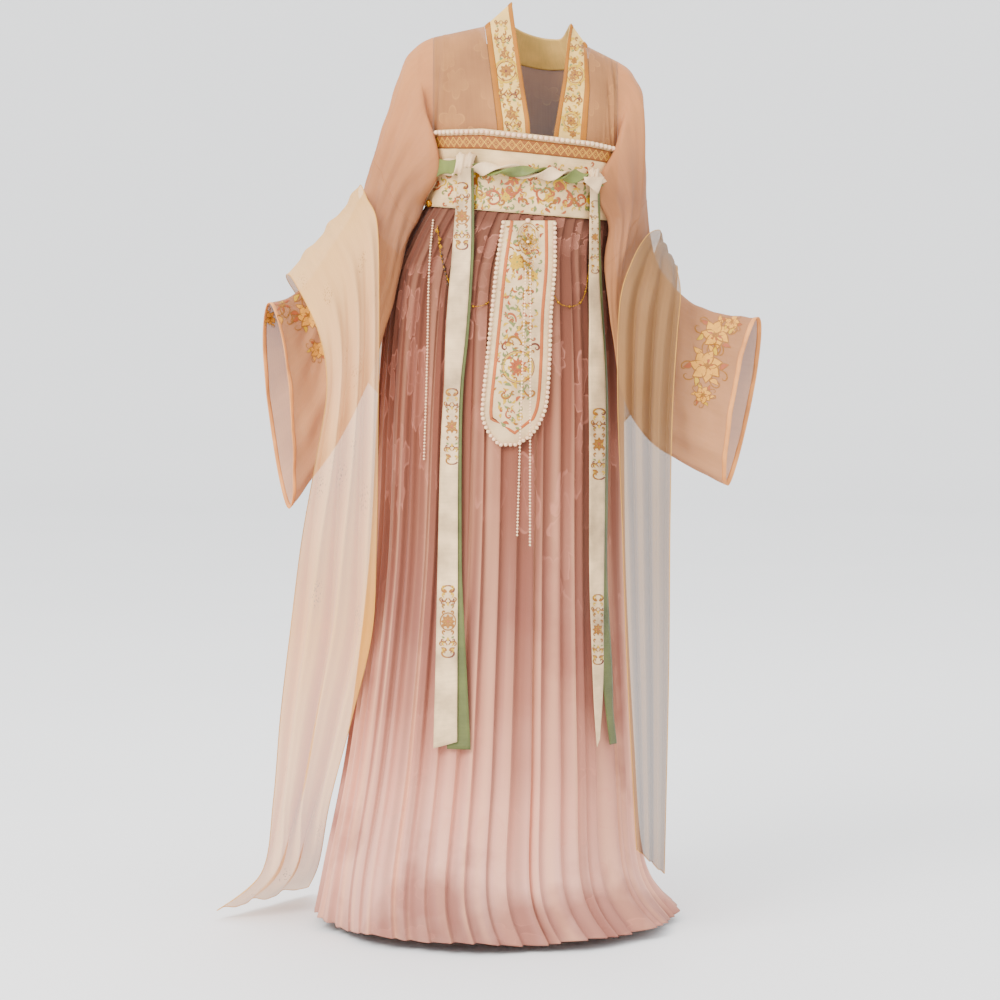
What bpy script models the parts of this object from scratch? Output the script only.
# A chest-high pleated skirt over a sheer robe with wide sleeves, and a long shawl over both arms.
# Metres, +Z up. The front faces -Y, and +X is the left of whoever wears it.
# Heights in the tables are above the floor. The origin is on the shoulders, where the wearer
# holds the set up, so everything hangs from an empty that lies this far under it:
import math

import bmesh
import bpy
from mathutils import Vector

SHOULDER_HEIGHT = 1.46

# Cloth and gaps
GAUZE = 0.0012
SKIRT_CLOTH = 0.0014
BAND_CLOTH = 0.0025
TRIM_CLOTH = 0.001
SEAM = 0.0003
LAID = 0.0004  # gap under a trim that lies on a panel

# Torso of a general figure, between the armpits (level 0) and the shoulder line (level 1)
CHEST_HALF_WIDTH = 0.150
CHEST_FRONT = 0.126
CHEST_BACK = 0.105
SHOULDER_SPREAD = 0.035
SHOULDER_ROUND = 2.6
BELOW_ARMPIT = 0.24  # height of one level under the armpits
WAIST_LEAN = 0.045  # how far the torso leans to -X in one level under the armpits
ARMHOLE_X = 0.150
ARMPIT_HEIGHT = 1.2225
ARMPIT_SLANT = -0.0833
SHOULDER_LINE = [(-0.150, 1.466), (-0.066, 1.484), (0.100, 1.452), (0.150, 1.427)]  # x, height
NECK_X = 0.017
NECK_HALF_WIDTH = 0.083
NECK_DIP = 0.20
ROBE_HEM = -1.0

# Robe
FRONT_COLUMNS = 5
BACK_COLUMNS = 12
YOKE_ROWS = 8
HEM_LEVELS = [-0.35, -0.7]
SLEEVE_SIDES = 16
CUFF_BORDER = 0.016
COLLAR_CLOTH = 0.0016
COLLAR_SHARES = [0.0, 0.05, 0.25, 0.83, 1.0]  # columns across it, with the edges of both pipings

# Collar: level, then the outer edge's x on both sides
COLLAR_EDGE = [(-1.0, -0.045, 0.092), (0.35, -0.045, 0.098), (0.7, -0.056, 0.104), (1.0, -0.066, 0.100)]
# Collar's width from its outer edge to its inner one, by level: dx, dy, dz on the left, dx, dy, dz on the right
COLLAR_WIDTH = [
    (-1.0, 0.052, -0.004, 0.0, -0.053, -0.004, 0.0),
    (0.35, 0.052, -0.006, 0.003, -0.053, -0.005, 0.003),
    (0.7, 0.048, 0.006, 0.012, -0.043, 0.006, 0.014),
    (0.9, 0.045, 0.008, 0.028, -0.033, 0.008, 0.030),
    (1.0, 0.043, 0.0, 0.041, -0.026, 0.0, 0.038),
]
NECK_STAND = 0.052
NECK_LEAN = -0.016
NECK_INWARD = 0.034

# Sleeves, from the armhole to the cuff: upper edge x, y, z, lower edge x, y, z, and the
# half thickness dx, dy towards the back
SLEEVE_LEFT = [
    (-0.168, 0.0, 1.458, -0.170, -0.002, 1.230, 0.0, 0.056),
    (-0.196, 0.0, 1.432, -0.180, -0.010, 1.212, 0.0, 0.056),
    (-0.222, 0.0, 1.360, -0.184, -0.030, 1.188, 0.0, 0.055),
    (-0.246, 0.0, 1.281, -0.190, -0.052, 1.158, 0.008, 0.052),
    (-0.262, -0.002, 1.220, -0.198, -0.072, 1.115, 0.016, 0.044),
    (-0.285, -0.010, 1.172, -0.214, -0.088, 1.045, 0.020, 0.036),
    (-0.318, -0.030, 1.120, -0.243, -0.100, 0.945, 0.020, 0.032),
    (-0.352, -0.060, 1.070, -0.285, -0.106, 0.840, 0.010, 0.032),
    (-0.382, -0.095, 1.042, -0.330, -0.116, 0.762, -0.020, 0.034),
    (-0.408, -0.138, 1.034, -0.374, -0.126, 0.700, -0.050, 0.040),
]
SLEEVE_RIGHT = [
    (0.168, 0.0, 1.416, 0.166, 0.0, 1.206, 0.0, 0.056),
    (0.192, 0.0, 1.376, 0.173, -0.012, 1.190, 0.0, 0.056),
    (0.197, 0.0, 1.290, 0.167, -0.037, 1.152, 0.0, 0.054),
    (0.2005, 0.0, 1.200, 0.154, -0.066, 1.090, 0.008, 0.050),
    (0.204, -0.005, 1.135, 0.149, -0.090, 1.010, 0.018, 0.040),
    (0.224, -0.030, 1.080, 0.156, -0.096, 0.900, 0.018, 0.032),
    (0.262, -0.060, 1.040, 0.187, -0.095, 0.825, 0.012, 0.030),
    (0.300, -0.085, 1.020, 0.236, -0.095, 0.785, 0.012, 0.030),
    (0.340, -0.105, 1.012, 0.286, -0.096, 0.757, 0.014, 0.034),
    (0.376, -0.125, 1.010, 0.330, -0.100, 0.735, 0.020, 0.042),
]
SLEEVE_SEAM_ROW = 3  # the cross seam lies at this row of the tables
ROWS_A_SLEEVE_SECTION = 2

# Band of the skirt, as torso levels
BAND_LIFT = 0.0085
BAND_FOOT = -0.19
BAND_TOP = 0.335
BAND_SIDE = -0.075
BAND_BACK = 0.20
BAND_FULL_TO = 56.0  # degrees from the front at which its top edge starts to fall
BAND_FALLEN_AT = 73.0
BAND_COLUMNS = 24
RIBBON_ENDS_IN = 4  # columns of the band that the ribbon leaves bare at each side
PEARL_RADIUS = 0.0042
RIBBON_TOP = 0.0095
RIBBON_FOOT = 0.0305
CORD_RADIUS = 0.0065
CORD_LEVEL = 0.085
CORD_SIDE_LEVEL = -0.150
CORD_LIFT = CORD_RADIUS + 0.0032
CORD_POINTS = 48
KNOT_GAP = 0.0005

# Skirt: height, centre x, half width, front depth, back depth, pleat depth
SKIRT = [
    (1.172, -0.0085, 0.156, 0.132, 0.111, 0.004),
    (1.120, -0.0260, 0.172, 0.146, 0.130, 0.006),
    (1.050, -0.0360, 0.190, 0.160, 0.145, 0.008),
    (0.880, -0.0400, 0.203, 0.178, 0.162, 0.009),
    (0.600, -0.0460, 0.213, 0.208, 0.190, 0.012),
    (0.300, -0.0570, 0.239, 0.247, 0.232, 0.015),
    (0.100, -0.0670, 0.268, 0.283, 0.270, 0.018),
    (0.012, -0.0460, 0.306, 0.302, 0.310, 0.020),
]
PLEATS_A_SIDE = 26
PLEAT = [(0.0, 0.0), (0.24, 1.0), (0.62, 0.42)]  # place in the pleat, share of its depth

# Tab: height, left x, right x
TAB = [
    (1.166, -0.0370, 0.0480),
    (1.094, -0.0479, 0.0481),
    (1.017, -0.0559, 0.0420),
    (0.942, -0.0635, 0.0395),
    (0.878, -0.0700, 0.0350),
    (0.850, -0.0700, 0.0270),
    (0.826, -0.0600, 0.0120),
    (0.808, -0.0440, -0.0120),
]
TAB_LIFT = 0.0022
TAB_COLUMNS = 6
TAB_PIPING_INSET = 0.009
TAB_PIPING_WIDTH = 0.006
TAB_PEARL_RADIUS = 0.0034

# Hanging ties: height, left x, right x of the cream face, lift above the front
TIE_LEFT = [
    (1.2436, -0.1080, -0.0880, 0.0244), (1.2150, -0.1110, -0.0880, 0.0115), (1.1200, -0.1180, -0.0880, 0.0100),
    (0.9950, -0.1277, -0.0958, 0.0100), (0.8990, -0.1310, -0.1054, 0.0100), (0.7880, -0.1370, -0.1086, 0.0100),
    (0.5600, -0.1420, -0.1090, 0.0100), (0.3240, -0.1480, -0.1100, 0.0100),
]
TIE_RIGHT = [
    (1.2255, 0.1030, 0.1130, 0.0236), (1.2000, 0.1040, 0.1166, 0.0115), (1.1200, 0.1030, 0.1180, 0.0100),
    (1.0300, 0.1023, 0.1214, 0.0100), (0.8675, 0.1023, 0.1294, 0.0100), (0.5690, 0.1038, 0.1262, 0.0100),
    (0.4200, 0.1090, 0.1260, 0.0100), (0.3180, 0.1150, 0.1190, 0.0100),
]
TIE_GAP = 0.0012
TIE_LEAST_WIDTH = 0.012
TIE_BACK_SHIFT = [(1.25, 0.004), (0.95, 0.005), (0.60, 0.006), (0.32, 0.022)]  # height, how far it shows

# Ornaments: x, height, clearance above the front
STRAND_LEFT = [
    (-0.1500, 1.168, 0.0005), (-0.1560, 1.085, 0.0005), (-0.1590, 0.940, 0.0005), (-0.1640, 0.782, 0.0005)
]
STRAND_CENTRE_LEFT = [
    (0.0000, 1.088, 0.0040), (-0.0030, 1.000, 0.012), (-0.0080, 0.860, 0.015), (-0.0110, 0.760, 0.017),
    (-0.0140, 0.664, 0.019),
]
STRAND_CENTRE_RIGHT = [
    (0.0070, 1.088, 0.0040), (0.0075, 1.000, 0.012), (0.0070, 0.860, 0.015), (0.0066, 0.760, 0.017),
    (0.0065, 0.648, 0.019),
]
SWAG_LEFT = [
    (-0.1430, 1.158, 0.0005), (-0.1350, 1.102, 0.0005), (-0.1140, 1.048, 0.0005), (-0.0890, 1.030, 0.0005),
    (-0.0700, 1.030, 0.0005), (-0.0590, 1.036, 0.0005),
]
SWAG_RIGHT = [
    (0.0460, 1.045, 0.0005), (0.0560, 1.032, 0.0005), (0.0740, 1.028, 0.0005), (0.0900, 1.036, 0.0005),
    (0.0990, 1.062, 0.0005), (0.1060, 1.120, 0.0005),
]
STRAND_RADIUS = 0.0022
SWAG_RADIUS = 0.0014
FILIGREE = [(1.160, 0.016), (1.135, 0.019), (1.110, 0.015), (1.080, 0.009)]  # height, half width
FILIGREE_X = 0.0035
PIN_RADIUS = 0.005
PIN_ANGLE = -66.0

# Shawl, from its left end round the back to its right end: inner or upper edge x, y, z,
# outer or lower edge x, y, z, and the depth of its folds
SHAWL = [
    (-0.374, 0.225, 0.016, -0.515, 0.000, 0.016, 0.004),
    (-0.350, 0.080, 0.085, -0.440, 0.000, 0.080, 0.010),
    (-0.332, 0.000, 0.200, -0.420, 0.010, 0.200, 0.014),
    (-0.302, -0.050, 0.350, -0.405, -0.020, 0.350, 0.014),
    (-0.270, -0.100, 0.500, -0.385, -0.070, 0.500, 0.013),
    (-0.264, -0.140, 0.660, -0.362, -0.150, 0.650, 0.012),
    (-0.252, -0.160, 0.860, -0.335, -0.205, 0.790, 0.010),
    (-0.236, -0.145, 1.040, -0.328, -0.204, 0.900, 0.009),
    (-0.240, -0.115, 1.160, -0.350, -0.194, 0.990, 0.008),
    (-0.258, -0.072, 1.2019, -0.385, -0.100, 1.0719, 0.006),
    (-0.272, 0.010, 1.2249, -0.392, 0.010, 1.0659, 0.006),
    (-0.276, 0.080, 1.200, -0.345, 0.100, 0.990, 0.007),
    (-0.235, 0.125, 1.130, -0.235, 0.155, 0.860, 0.009),
    (-0.150, 0.190, 1.070, -0.150, 0.220, 0.770, 0.011),
    (-0.030, 0.212, 1.030, -0.030, 0.248, 0.720, 0.012),
    (0.100, 0.182, 1.050, 0.100, 0.215, 0.760, 0.011),
    (0.200, 0.118, 1.090, 0.196, 0.140, 0.860, 0.009),
    (0.226, 0.062, 1.128, 0.262, 0.088, 0.960, 0.007),
    (0.228, 0.000, 1.150, 0.276, 0.015, 1.075, 0.005),
    (0.198, -0.080, 1.142, 0.258, -0.080, 1.090, 0.005),
    (0.172, -0.118, 1.100, 0.250, -0.132, 1.050, 0.007),
    (0.152, -0.138, 1.030, 0.243, -0.158, 0.980, 0.009),
    (0.149, -0.146, 0.880, 0.236, -0.164, 0.860, 0.011),
    (0.156, -0.150, 0.690, 0.233, -0.164, 0.690, 0.011),
    (0.166, -0.160, 0.420, 0.231, -0.170, 0.420, 0.011),
    (0.180, -0.172, 0.150, 0.225, -0.176, 0.110, 0.009),
]
SHAWL_BACK_FROM = 12  # rows at which the stretch across the back starts and ends
SHAWL_BACK_TO = 16
SHAWL_COLUMNS = 12
SHAWL_FOLDS = 3

for leftover in list(bpy.data.objects):
    bpy.data.objects.remove(leftover, do_unlink=True)

floor = bpy.data.objects.new("floor", None)
floor.location = (0.0, 0.0, -SHOULDER_HEIGHT)
bpy.context.scene.collection.objects.link(floor)


def material(name, colour, roughness=0.8, metallic=0.0):
    made = bpy.data.materials.new(name)
    made.use_nodes = True
    shader = made.node_tree.nodes["Principled BSDF"]
    shader.inputs["Base Color"].default_value = (*colour, 1.0)
    shader.inputs["Roughness"].default_value = roughness
    shader.inputs["Metallic"].default_value = metallic
    return made


# Tables and curves
def looked_up(table, at, column):
    # A table's column at a place between two of its rows. The first column rises or falls.
    rows = sorted(table)
    if at <= rows[0][0]:
        return rows[0][column]
    for low, high in zip(rows, rows[1:]):
        if at <= high[0]:
            share = (at - low[0]) / (high[0] - low[0])
            return low[column] + (high[column] - low[column]) * share
    return rows[-1][column]


def smooth_rows(rows, steps):
    # Rows of numbers with more between them, on a smooth curve through all of them.
    made = []
    for index in range(len(rows) - 1):
        before = rows[max(index - 1, 0)]
        start, end = rows[index], rows[index + 1]
        after = rows[min(index + 2, len(rows) - 1)]
        for step in range(steps):
            t = step / steps
            weights = (
                -0.5 * t + t * t - 0.5 * t ** 3,
                1 - 2.5 * t * t + 1.5 * t ** 3,
                0.5 * t + 2 * t * t - 1.5 * t ** 3,
                -0.5 * t * t + 0.5 * t ** 3,
            )
            made.append(tuple(
                sum(w * v for w, v in zip(weights, values)) for values in zip(before, start, end, after)
            ))
    made.append(tuple(rows[-1]))
    return made


def eased(share):
    share = min(max(share, 0.0), 1.0)
    return share * share * (3 - 2 * share)


# Walls
def grid_normals(grid, closed, axis_x, seams):
    # Unit normals of a grid of points, away from the body's axis, or from its own when closed.
    rows, columns = len(grid), len(grid[0])
    normals = []
    outward = 0.0
    for r in range(rows):
        centre = sum(grid[r], Vector()) / columns
        line = []
        for c in range(columns):
            if closed:
                across = grid[r][(c + 1) % columns] - grid[r][c - 1]
            else:
                across = grid[r][min(c + 1, columns - 1)] - grid[r][max(c - 1, 0)]
            along = grid[min(r + 1, rows - 1)][c] - grid[max(r - 1, 0)][c]
            normal = across.cross(along)
            kept_in = seams(r, c) if seams else None
            if kept_in is not None:
                normal[kept_in] = 0.0
            normal.normalize()
            line.append(normal)
            away = grid[r][c] - (centre if closed else Vector((axis_x, 0.0, grid[r][c].z)))
            outward += normal.dot(away)
        normals.append(line)
    side = 1.0 if outward > 0 else -1.0
    return [[normal * side for normal in line] for line in normals]


def moved(grid, distance, closed=False, axis_x=-0.02, seams=None):
    normals = grid_normals(grid, closed, axis_x, seams)
    return [[p + n * distance for p, n in zip(line, ns)] for line, ns in zip(grid, normals)]


def placed(name, mesh, finish, smooth_angle=50.0):
    mesh.materials.append(finish)
    mesh.shade_smooth()
    mesh.set_sharp_from_angle(angle=math.radians(smooth_angle))
    made = bpy.data.objects.new(name, mesh)
    made.parent = floor
    bpy.context.scene.collection.objects.link(made)
    return made


def wall(name, outer, inner, finish, closed=False):
    # One closed body between two grids of points. A closed one is a tube that is open at both ends.
    work = bmesh.new()
    faces = [[[work.verts.new(p) for p in line] for line in grid] for grid in (outer, inner)]
    front, back = faces
    rows, columns = len(outer), len(outer[0])
    steps = range(columns) if closed else range(columns - 1)
    for side in faces:
        for r in range(rows - 1):
            for c in steps:
                d = (c + 1) % columns
                work.faces.new((side[r][c], side[r][d], side[r + 1][d], side[r + 1][c]))
    for r in (0, rows - 1):
        for c in steps:
            d = (c + 1) % columns
            work.faces.new((front[r][c], front[r][d], back[r][d], back[r][c]))
    if not closed:
        for c in (0, columns - 1):
            for r in range(rows - 1):
                work.faces.new((front[r][c], front[r + 1][c], back[r + 1][c], back[r][c]))
    bmesh.ops.recalc_face_normals(work, faces=work.faces)
    mesh = bpy.data.meshes.new(name)
    work.to_mesh(mesh)
    work.free()
    return placed(name, mesh, finish)


def cloth(name, grid, thickness, finish, closed=False, axis_x=-0.02, seams=None):
    return wall(name, grid, moved(grid, -thickness, closed, axis_x, seams), finish, closed)


def trim(name, grid, lift, finish, axis_x=-0.02, closed=False):
    # A strip that lies on a panel, made from the panel's own points.
    outer = moved(grid, lift + TRIM_CLOTH, closed, axis_x)
    inner = moved(grid, lift, closed, axis_x)
    return wall(name, outer, inner, finish, closed)


def rope(name, points, radius, finish, cyclic=False, resolution=1):
    curve = bpy.data.curves.new(name, "CURVE")
    curve.dimensions = "3D"
    curve.bevel_depth = radius
    curve.bevel_resolution = resolution
    curve.use_fill_caps = True
    spline = curve.splines.new("POLY")
    spline.points.add(len(points) - 1)
    for point, place in zip(spline.points, points):
        point.co = (*place, 1.0)
    spline.use_cyclic_u = cyclic
    curve.materials.append(finish)
    made = bpy.data.objects.new(name, curve)
    made.parent = floor
    bpy.context.scene.collection.objects.link(made)
    return made


# Torso
def shoulder_height(x):
    return looked_up(SHOULDER_LINE, x, 1)


def torso_depth(level, back):
    depth = CHEST_BACK if back else CHEST_FRONT
    if level <= 0:
        return depth * (1 - 0.06 * min(-level, 1.0))
    return depth * math.sqrt(max(1 - level ** SHOULDER_ROUND, 0.0))


def torso_half_width(level):
    if level <= 0:
        return CHEST_HALF_WIDTH
    return CHEST_HALF_WIDTH + SHOULDER_SPREAD * level ** 0.7


def torso_height(x, level):
    armpit = ARMPIT_HEIGHT + ARMPIT_SLANT * x
    if level <= 0:
        return armpit + BELOW_ARMPIT * level
    return armpit + (shoulder_height(x) - armpit) * level


def torso_point(angle, level, lift=0.0):
    # A point of the torso at an angle in degrees from the front, positive to +X.
    turn = math.radians(angle)
    back = abs(angle) > 90
    x = WAIST_LEAN * min(level, 0.0) + torso_half_width(level) * math.sin(turn)
    y = -torso_depth(level, back) * math.cos(turn)
    push = Vector((math.sin(turn), -math.cos(turn), 0.0)) * lift
    return Vector((x, y, torso_height(x, level))) + push


def side_angle(level):
    # The angle of the armhole, or of the side seam under it.
    if level <= 0:
        return 90.0
    return math.degrees(math.asin(ARMHOLE_X / torso_half_width(level)))


def angle_of(x, level):
    lean = WAIST_LEAN * min(level, 0.0)
    share = min(max((x - lean) / torso_half_width(level), -1.0), 1.0)
    return math.degrees(math.asin(share))


def yoke_levels():
    return [0.5 - 0.5 * math.cos(math.pi * row / YOKE_ROWS) for row in range(YOKE_ROWS + 1)]


def robe_levels():
    return [ROBE_HEM] + sorted(HEM_LEVELS) + yoke_levels()


# Robe
def collar_edge(level, side):
    # The collar's outer edge in front. side is -1 on the left of the picture and 1 on its right.
    x = looked_up(COLLAR_EDGE, level, 1 if side < 0 else 2)
    return torso_point(angle_of(x, level), level)


def front_panel(name, side, finish):
    grid = []
    for level in robe_levels():
        x = looked_up(COLLAR_EDGE, level, 1 if side < 0 else 2) + side * 3 * SEAM
        start = angle_of(x, level)
        end = side * side_angle(level)
        line = []
        for column in range(FRONT_COLUMNS + 1):
            share = column / FRONT_COLUMNS
            point = torso_point(start + (end - start) * share, level)
            if column == FRONT_COLUMNS and level <= 0:
                point.y = -SEAM
            if level == 1.0:
                point.y = -SEAM
            line.append(point)
        grid.append(line)
    armpit = len(HEM_LEVELS) + 1
    last = len(grid) - 1

    def seams(r, c):
        if r == last:
            return 1
        if c == FRONT_COLUMNS:
            return 0 if r > armpit else 1
        return 0 if c == 0 else None

    cloth(name, grid, GAUZE, finish, axis_x=0.0, seams=seams)


def neck_level(x):
    # How high the back reaches: to the shoulder line, and lower behind the neck.
    share = (x - NECK_X) / NECK_HALF_WIDTH
    if abs(share) >= 1:
        return 1.0
    return 1.0 - NECK_DIP * math.sqrt(1 - share * share)


def back_point(share, level):
    # share runs from -1 at the left armhole or side seam to 1 at the right one.
    angle = 180.0 - share * side_angle(level)
    if angle > 180:
        angle -= 360
    return torso_point(angle, level)


def robe_back(finish):
    grid = []
    levels = robe_levels()
    armpit = len(HEM_LEVELS) + 1
    for row, level in enumerate(levels):
        line = []
        for column in range(BACK_COLUMNS + 1):
            share = 2 * column / BACK_COLUMNS - 1
            top = neck_level(share * ARMHOLE_X)
            point = back_point(share, level * top if level > 0 else level)
            if level == 1.0 and top == 1.0:
                point.y = SEAM
            if level <= 0 and column in (0, BACK_COLUMNS):
                point.y = SEAM
            line.append(point)
        grid.append(line)
    last = len(grid) - 1

    def seams(r, c):
        if r == last:
            return 2 if grid[r][c].y > 2 * SEAM else 1
        if c in (0, BACK_COLUMNS):
            return 0 if r > armpit else 1
        return None

    cloth("robe_back", grid, GAUZE, finish, axis_x=0.0, seams=seams)


def collar_rows():
    # Outer and inner edge points of the collar, from the left front up round the neck and down again.
    rows = []
    levels = [ROBE_HEM, -0.5, -0.1, 0.12, 0.3, 0.45, 0.58, 0.7, 0.8, 0.88, 0.95, 0.99]
    for side, order in ((-1, levels), (1, levels[::-1])):
        first = 1 if side < 0 else 4
        for level in order:
            outer = collar_edge(level, side)
            width = Vector([looked_up(COLLAR_WIDTH, level, first + axis) for axis in range(3)])
            rows.append((outer, outer + width))
        if side > 0:
            continue
        for column in range(BACK_COLUMNS + 1):
            x = (2 * column / BACK_COLUMNS - 1) * ARMHOLE_X
            turn = (x - NECK_X) / NECK_HALF_WIDTH
            if abs(turn) > 0.97:
                continue
            outer = back_point(x / ARMHOLE_X, neck_level(x))
            outer.z += 5 * SEAM
            middle = 1 - turn * turn
            rise = (-NECK_INWARD * turn, NECK_LEAN * (0.25 + middle), NECK_STAND * (0.82 + 0.18 * middle))
            rows.append((outer, outer + Vector(rise)))
    return rows


def collar(band, piping):
    grid = [[outer.lerp(inner, share) for share in COLLAR_SHARES] for outer, inner in collar_rows()]

    def seams(r, c):
        if c > 0:
            return None
        return 2 if grid[r][0].y > 4 * SEAM else 0

    cloth("collar_band", grid, COLLAR_CLOTH, band, axis_x=NECK_X, seams=seams)
    under, over = (moved(grid, lift, axis_x=NECK_X) for lift in (LAID, LAID + TRIM_CLOTH))
    for word, first in (("outer", 1), ("inner", 3)):
        sides = [[line[first:first + 2] for line in side] for side in (over, under)]
        wall(f"collar_piping_{word}", sides[0], sides[1], piping)


def sleeve_grid(table, side):
    # Rings of the sleeve, each from its upper edge round the front to its lower edge and up the back.
    half = SLEEVE_SIDES // 2
    root = []
    for k in range(SLEEVE_SIDES):
        turn = 2 * math.pi * k / SLEEVE_SIDES
        level = 0.5 + 0.5 * math.cos(turn)
        angle = side * side_angle(level)
        if k > half:
            angle = side * 180 - angle
        point = torso_point(angle, level)
        point.x = side * (ARMHOLE_X + 2 * SEAM)
        if k in (0, half):
            point.y = 0.0
        root.append(point)
    grid = [root]
    for row in smooth_rows(table, ROWS_A_SLEEVE_SECTION):
        upper, lower = Vector(row[0:3]), Vector(row[3:6])
        thick = Vector((row[6], row[7], 0.0))
        line = []
        for k in range(SLEEVE_SIDES):
            turn = 2 * math.pi * k / SLEEVE_SIDES
            share = 0.5 - 0.5 * math.cos(turn)
            body = math.sin(turn) * (0.85 + 0.15 * math.cos(turn))
            line.append(upper.lerp(lower, share) - thick * body)
        grid.append(line)
    return grid


def sleeve(word, table, side, upper, lower, border):
    grid = sleeve_grid(table, side)
    inner = moved(grid, -GAUZE, closed=True, seams=lambda r, c: 0 if r == 0 else None)
    cut = SLEEVE_SEAM_ROW * ROWS_A_SLEEVE_SECTION + 1
    start = [pulled(g[cut], g[cut + 1]) for g in (grid, inner)]
    wall(f"sleeve_upper_{word}", grid[:cut + 1], inner[:cut + 1], upper, closed=True)
    wall(f"sleeve_lower_{word}", [start[0]] + grid[cut + 1:], [start[1]] + inner[cut + 1:], lower, closed=True)
    edge = [[a.lerp(b, 1 - CUFF_BORDER / (b - a).length) for a, b in zip(grid[-2], grid[-1])], grid[-1]]
    trim(f"cuff_border_{word}", edge, LAID, border, closed=True)


def pulled(line, towards):
    # A row of points moved a seam's width towards the next row.
    return [a + (b - a).normalized() * SEAM * 1.5 for a, b in zip(line, towards)]


# Band
def band_top(angle):
    away = abs(angle)
    if away <= 90:
        return BAND_TOP + (BAND_SIDE - BAND_TOP) * eased((away - BAND_FULL_TO) / (BAND_FALLEN_AT - BAND_FULL_TO))
    return BAND_SIDE + (BAND_BACK - BAND_SIDE) * eased((away - 105.0) / 35.0)


def band_point(angle, level, lift=0.0):
    return torso_point(angle, level, BAND_LIFT + lift)


def signed(angle):
    return angle if angle <= 180 else angle - 360


def ribbon_foot(angle):
    return max(band_top(angle) - RIBBON_FOOT / BELOW_ARMPIT, BAND_FOOT + 0.03)


def ribbon_top(angle):
    return max(band_top(angle) - RIBBON_TOP / BELOW_ARMPIT, BAND_FOOT + 0.06)


def band_grid(first, angles):
    # Rows at the foot, at thirds of the plain part, at the ribbon's edges and at the top.
    grid = []
    for share in (0.0, 1 / 3, 2 / 3):
        grid.append([
            band_point(signed(a), BAND_FOOT + (ribbon_foot(signed(a)) - BAND_FOOT) * share) for a in angles
        ])
    for level in (ribbon_foot, ribbon_top, band_top):
        grid.append([band_point(signed(a), level(signed(a))) for a in angles])
    gap = -SEAM if first < 0 else SEAM
    for line in grid:
        line[0].y = gap
        line[-1].y = gap
    return grid


def band_angles(first):
    return [first + 180.0 * column / BAND_COLUMNS for column in range(BAND_COLUMNS + 1)]


def chest_band(finish):
    for name, first in (("chest_band_front", -90.0), ("chest_band_back", 90.0)):
        grid = band_grid(first, band_angles(first))
        cloth(name, grid, BAND_CLOTH, finish, seams=lambda r, c: 1 if c in (0, BAND_COLUMNS) else None)


def band_trims(ribbon, pearl):
    angles = band_angles(-90.0)
    grid = moved(band_grid(-90.0, angles), LAID)
    first, last = RIBBON_ENDS_IN, BAND_COLUMNS - RIBBON_ENDS_IN
    inner = [line[first:last + 1] for line in grid[3:5]]
    wall("band_ribbon", moved(inner, TRIM_CLOTH), inner, ribbon)
    lift = PEARL_RADIUS + 2 * LAID
    row = [band_point(a, band_top(a) - PEARL_RADIUS / BELOW_ARMPIT, lift) for a in angles[first:last + 1]]
    rope("band_pearls", row, PEARL_RADIUS, pearl)


def cord_level(angle):
    away = abs(angle)
    if away > 90:
        return CORD_SIDE_LEVEL
    return CORD_LEVEL + (CORD_SIDE_LEVEL - CORD_LEVEL) * eased((away - 50.0) / 30.0)


def waist_cord(finish):
    angles = [-180 + 360 * step / CORD_POINTS for step in range(CORD_POINTS)]
    route = [band_point(angle, cord_level(angle), CORD_LIFT) for angle in angles]
    rope("waist_cord", route, CORD_RADIUS, finish, cyclic=True, resolution=2)


def bead(name, centre, radii, finish):
    work = bmesh.new()
    bmesh.ops.create_uvsphere(work, u_segments=12, v_segments=8, radius=1.0)
    for vert in work.verts:
        vert.co = Vector((vert.co.x * radii[0], vert.co.y * radii[1], vert.co.z * radii[2])) + centre
    mesh = bpy.data.meshes.new(name)
    work.to_mesh(mesh)
    work.free()
    return placed(name, mesh, finish)


def knot(name, x, height, radii, finish):
    bead(name, front_face(x, height, CORD_LIFT + CORD_RADIUS + radii[1] + KNOT_GAP), radii, finish)


# Skirt
def skirt_at(height):
    return [looked_up(SKIRT, height, column) for column in range(1, 6)]


def skirt_point(angle, row, pleat_share):
    height, centre_x, half_width, front, back, pleat = row
    turn = math.radians(angle)
    depth = back if abs(angle) > 90 else front
    inward = pleat * pleat_share
    x = centre_x + (half_width - inward) * math.sin(turn)
    y = -(depth - inward) * math.cos(turn)
    top = SKIRT[0][0]
    if height > SKIRT[2][0]:
        # The top rows follow the band's foot, just under it.
        foot = band_point(angle, BAND_FOOT).z - 2 * SEAM
        weight = (height - SKIRT[2][0]) / (top - SKIRT[2][0])
        height += (foot - top) * weight
    return Vector((x, y, height))


def skirt(finish):
    for name, start in (("skirt_front", -90.0), ("skirt_back", 90.0)):
        grid = []
        for row in SKIRT:
            line = []
            for pleat in range(PLEATS_A_SIDE):
                for place, share in PLEAT:
                    angle = start + 180.0 * (pleat + place) / PLEATS_A_SIDE
                    line.append(skirt_point(angle if angle <= 180 else angle - 360, row, share))
            end = start + 180.0
            line.append(skirt_point(end if end <= 180 else end - 360, row, 0.0))
            gap = -SEAM if start < 0 else SEAM
            line[0].y = gap
            line[-1].y = gap
            grid.append(line)
        last = len(grid[0]) - 1
        cloth(name, grid, SKIRT_CLOTH, finish, seams=lambda r, c: 1 if c in (0, last) else None)


def table_height(x, height):
    # The skirt table's height for a real one, since its top rows follow the band's slanted foot.
    top, slanted_from = SKIRT[0][0], SKIRT[2][0]
    if height <= slanted_from:
        return height
    stretch = (torso_height(x, BAND_FOOT) - 2 * SEAM - slanted_from) / (top - slanted_from)
    return min(slanted_from + (height - slanted_from) / stretch, top)


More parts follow.
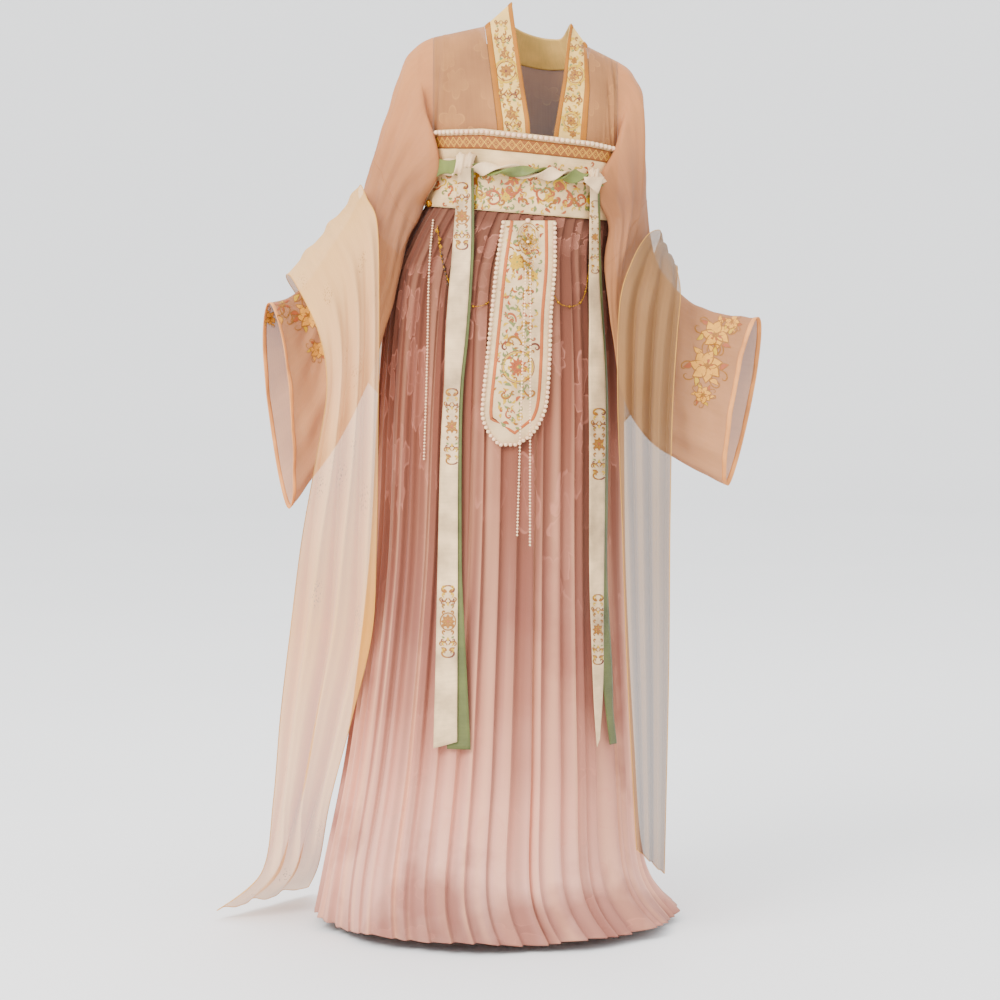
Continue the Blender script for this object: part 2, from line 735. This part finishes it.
def front_face(x, height, lift):
    # A point just in front of the band and the skirt's outer folds.
    centre_x, half_width, front, back, pleat = skirt_at(table_height(x, height))
    share = min(max((x - centre_x) / (half_width + lift), -0.98), 0.98)
    y = -(front + lift) * math.sqrt(1 - share * share)
    armpit = ARMPIT_HEIGHT + ARMPIT_SLANT * x
    level = (height - armpit) / (BELOW_ARMPIT if height < armpit else shoulder_height(x) - armpit)
    if level > BAND_FOOT - 0.05:
        outer = BAND_LIFT + lift
        lean = WAIST_LEAN * min(level, 0.0)
        share = min(max((x - lean) / (torso_half_width(level) + outer), -0.98), 0.98)
        y = min(y, -(torso_depth(level, False) + outer) * math.sqrt(1 - share * share))
    return Vector((x, y, height))


def hanging(table, lift, columns):
    grid = []
    for height, left, right in table:
        line = [front_face(left + (right - left) * c / columns, height, lift) for c in range(columns + 1)]
        grid.append(line)
    return grid


def tab(finish, piping, pearl):
    rows = [(h, a, b) for h, a, b in smooth_rows(TAB, 2)]
    grid = hanging(rows, TAB_LIFT, TAB_COLUMNS)
    cloth("tab", grid, TRIM_CLOTH, finish)
    top = TAB_LIFT + 3 * LAID
    inset = TAB_PIPING_INSET
    left = [front_face(a + inset, h, top) for h, a, b in rows[:-1]]
    right = [front_face(b - inset, h, top) for h, a, b in rows[:-1]]
    foot_left, foot_right = left[-1], right[-1]
    middle = (foot_left + foot_right) / 2
    middle.z -= 0.003
    edge = left + [middle] + right[::-1]
    strip = [[point, point.copy()] for point in edge]
    centre = front_face(-0.012, 0.95, top)
    for line in strip:
        inward = centre - line[0]
        inward.y = 0.0
        inward.z *= 0.35 if line[0].z > 0.84 else 1.0
        line[1] = line[0] + inward.normalized() * TAB_PIPING_WIDTH
        line[1].y = front_face(line[1].x, line[1].z, top).y
    trim("tab_piping", strip, 0.0, piping)
    radius = TAB_PEARL_RADIUS
    lift = TAB_LIFT + LAID + radius
    down = [front_face(a + radius, h, lift) for h, a, b in rows]
    up = [front_face(b - radius, h, lift) for h, a, b in rows[::-1]]
    rope("tab_pearls", down + up, radius, pearl)


def tie(word, table, face, back):
    cream, green = [], []
    for height, left, right, lift in smooth_rows(table, 2):
        shift = looked_up(TIE_BACK_SHIFT, height, 1)
        width = max(right - left, TIE_LEAST_WIDTH)
        under = lift - TRIM_CLOTH - TIE_GAP
        cream.append([front_face(left + (right - left) * c / 2, height, lift) for c in range(3)])
        green.append([front_face(left + shift + width * c / 2, height, under) for c in range(3)])
    cloth(f"tie_{word}_face", cream, TRIM_CLOTH, face)
    cloth(f"tie_{word}_back", green, TRIM_CLOTH, back)


def strand(name, table, radius, finish):
    points = [front_face(x, height, clear + radius) for x, height, clear in smooth_rows(table, 4)]
    rope(name, points, radius, finish)


def ornaments(gold, pearl):
    grid = []
    for height, half in FILIGREE:
        lift = TAB_LIFT + 2 * LAID + TRIM_CLOTH
        grid.append([front_face(FILIGREE_X + half * (c - 1), height, lift) for c in range(3)])
    cloth("filigree_centre", grid, TRIM_CLOTH, gold)
    pin = band_point(PIN_ANGLE, BAND_FOOT + 0.02, PIN_RADIUS + LAID)
    bead("pin_left", pin, (PIN_RADIUS, PIN_RADIUS, PIN_RADIUS * 1.4), gold)
    strand("strand_left", STRAND_LEFT, STRAND_RADIUS, pearl)
    strand("strand_centre_left", STRAND_CENTRE_LEFT, STRAND_RADIUS, pearl)
    strand("strand_centre_right", STRAND_CENTRE_RIGHT, STRAND_RADIUS, pearl)
    strand("swag_left", SWAG_LEFT, SWAG_RADIUS, gold)
    strand("swag_right", SWAG_RIGHT, SWAG_RADIUS, gold)


# Shawl
def shawl(left, back, right):
    shares = [column / SHAWL_COLUMNS for column in range(SHAWL_COLUMNS + 1)]
    flat = [[Vector(row[0:3]).lerp(Vector(row[3:6]), share) for share in shares] for row in SHAWL]
    normals = grid_normals(flat, False, -0.02, None)
    grid = []
    for row, line, out in zip(SHAWL, flat, normals):
        waved = []
        for c, (point, normal) in enumerate(zip(line, out)):
            wave = math.sin(2 * math.pi * SHAWL_FOLDS * c / SHAWL_COLUMNS)
            waved.append(point + normal * row[6] * wave)
        grid.append(waved)
    inner = moved(grid, -GAUZE)
    a, b, last = SHAWL_BACK_FROM, SHAWL_BACK_TO, len(SHAWL) - 1
    for name, first, end, finish in (
        ("shawl_left", 0, a, left), ("shawl_back", a, b, back), ("shawl_right", b, last, right)
    ):
        sides = []
        for side in (grid, inner):
            rows = side[first:end + 1]
            if first > 0:
                rows = [pulled(side[first], side[first + 1])] + rows[1:]
            sides.append(rows)
        wall(name, sides[0], sides[1], finish)


gauze = material("robe_gauze", (0.66, 0.38, 0.24), 0.75)
peach = material("sleeve_gauze", (0.80, 0.58, 0.45), 0.75)
cream = material("collar_cream", (0.87, 0.82, 0.72), 0.8)
orange = material("piping_orange", (0.72, 0.34, 0.07), 0.6)

front_panel("robe_front_left", -1, gauze)
front_panel("robe_front_right", 1, material("robe_front_right_gauze", (0.66, 0.38, 0.24), 0.75))
robe_back(material("robe_back_gauze", (0.66, 0.38, 0.24), 0.75))
collar(cream, orange)
border = material("cuff_peach", (0.80, 0.45, 0.30), 0.7)
sleeve("left", SLEEVE_LEFT, -1, peach, material("sleeve_lower_gauze", (0.82, 0.62, 0.50), 0.75), border)
sleeve("right", SLEEVE_RIGHT, 1, peach, material("sleeve_lower_right_gauze", (0.82, 0.62, 0.50), 0.75), border)
skirt(material("skirt_chiffon", (0.62, 0.35, 0.28), 0.7))
chest_band(material("band_cream", (0.84, 0.78, 0.70), 0.8))
pearls = material("pearl", (0.90, 0.87, 0.82), 0.25)
band_trims(material("ribbon_lattice", (0.74, 0.38, 0.14), 0.5), pearls)
twist = material("cord_green_cream", (0.50, 0.53, 0.33), 0.6)
waist_cord(twist)
knot("knot_left", -0.0975, 1.257, (0.013, 0.008, 0.013), twist)
knot("knot_right", 0.1080, 1.236, (0.010, 0.007, 0.010), twist)
tab(material("tab_cream", (0.88, 0.82, 0.74), 0.7), material("tab_piping_peach", (0.80, 0.40, 0.22), 0.6), pearls)
face = material("tie_cream", (0.86, 0.80, 0.68), 0.5)
reverse = material("tie_olive", (0.27, 0.33, 0.09), 0.5)
tie("left", TIE_LEFT, face, reverse)
tie("right", TIE_RIGHT, face, reverse)
ornaments(material("ornament_gold", (0.75, 0.50, 0.15), 0.3, 1.0), pearls)
shawl(
    material("shawl_gauze_left", (0.84, 0.68, 0.44), 0.6),
    material("shawl_gauze_back", (0.80, 0.64, 0.42), 0.6),
    material("shawl_gauze_right", (0.72, 0.52, 0.30), 0.6),
)
